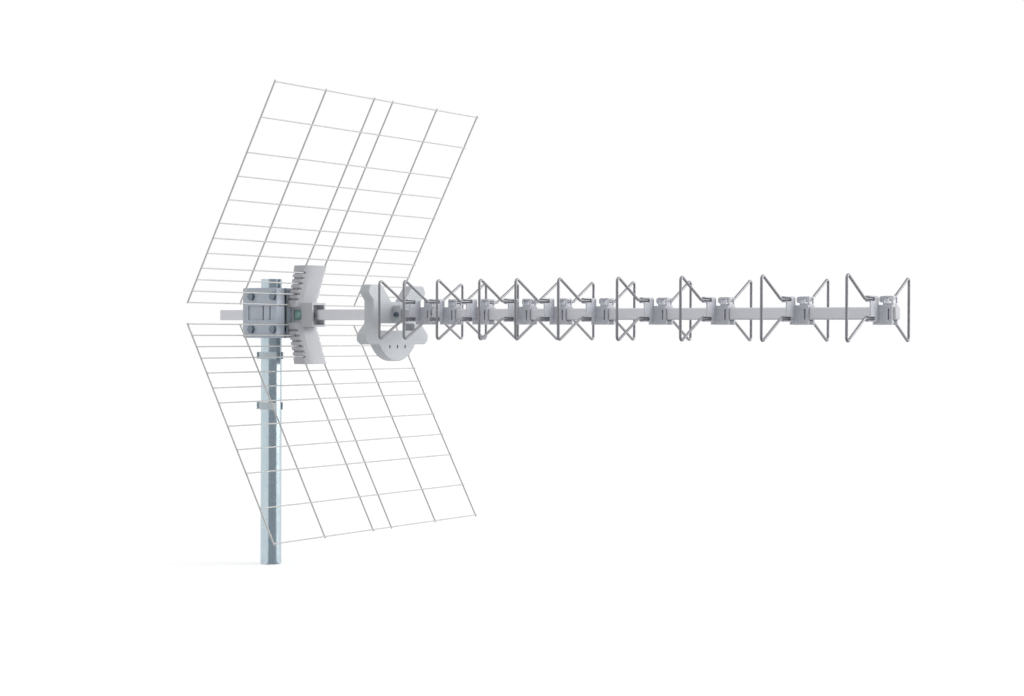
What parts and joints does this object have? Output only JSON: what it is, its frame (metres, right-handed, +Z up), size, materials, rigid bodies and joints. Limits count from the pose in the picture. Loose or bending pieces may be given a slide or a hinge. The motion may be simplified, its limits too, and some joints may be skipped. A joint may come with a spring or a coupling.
{
  "type": "uhf tv antenna",
  "caption": "Directional UHF television aerial: square boom with bow-tie directors, butterfly dipole housing, corner reflector of wire grids, and a clamp on a short mast tube.",
  "frame": {"origin": "centre of the mast tube's foot, in the plane of its lower end", "axes": "+Z up the mast; +X along the boom from the clamp to the directors; +Y from the mast to the boom beside it"},
  "size_m": [1.042, 0.472, 0.6548],
  "materials": {
    "mast_steel": "galvanised",
    "boom_aluminium": "mill finish, drawn",
    "end_cap_plastic": "moulded, matt",
    "clamp_casting": "die-cast, tumbled",
    "zinc_fastener": "zinc plated",
    "clip_plastic": "moulded, matt",
    "coated_wire": "pale coat over welded steel wire",
    "holder_plastic": "moulded, matt",
    "housing_plastic": "moulded, matt",
    "seal_rubber": "moulded foam cord",
    "dipole_sheet": "rolled sheet",
    "board_laminate": "solder mask over glass laminate",
    "plated_contact": "nickel plated",
    "director_plastic": "moulded, matt",
    "wing_rod": "drawn rod"
  },
  "bodies": {
    "root": {"mast_tube": "mast_steel", "boom_tube": "boom_aluminium", "boom_front_cap": "end_cap_plastic", "clamp_jaw": "clamp_casting", "clamp_saddle": "clamp_casting", "clamp_back_plate": "clamp_casting", "clamp_bolts": "zinc_fastener", "clamp_washers": "zinc_fastener", "clamp_nuts": "zinc_fastener", "holder_bolt": "zinc_fastener", "holder_nut": "zinc_fastener", "keeper_screws": "zinc_fastener", "housing_screws": "zinc_fastener", "collar_screw": "zinc_fastener", "cable_clip_upper": "clip_plastic", "cable_clip_lower": "clip_plastic", "reflector_panel_upper": "coated_wire", "reflector_panel_lower": "coated_wire", "reflector_holder": "holder_plastic", "holder_keeper_upper": "holder_plastic", "holder_keeper_lower": "holder_plastic", "dipole_front_shell": "housing_plastic", "dipole_rear_shell": "housing_plastic", "housing_gasket": "seal_rubber", "dipole_plate_left": "dipole_sheet", "dipole_plate_right": "dipole_sheet", "balun_board": "board_laminate", "feed_pins": "plated_contact", "cable_socket": "plated_contact", "cable_socket_nut": "plated_contact", "director_01_clip": "director_plastic", "director_01_near_wing": "wing_rod", "director_01_far_wing": "wing_rod", "director_02_clip": "director_plastic", "director_02_near_wing": "wing_rod", "director_02_far_wing": "wing_rod", "director_03_clip": "director_plastic", "director_03_near_wing": "wing_rod", "director_03_far_wing": "wing_rod", "director_04_clip": "director_plastic", "director_04_near_wing": "wing_rod", "director_04_far_wing": "wing_rod", "director_05_clip": "director_plastic", "director_05_near_wing": "wing_rod", "director_05_far_wing": "wing_rod", "director_06_clip": "director_plastic", "director_06_near_wing": "wing_rod", "director_06_far_wing": "wing_rod", "director_07_clip": "director_plastic", "director_07_near_wing": "wing_rod", "director_07_far_wing": "wing_rod", "director_08_clip": "director_plastic", "director_08_near_wing": "wing_rod", "director_08_far_wing": "wing_rod", "director_09_clip": "director_plastic", "director_09_near_wing": "wing_rod", "director_09_far_wing": "wing_rod", "director_10_clip": "director_plastic", "director_10_near_wing": "wing_rod", "director_10_far_wing": "wing_rod"}
  },
  "joints": []
}
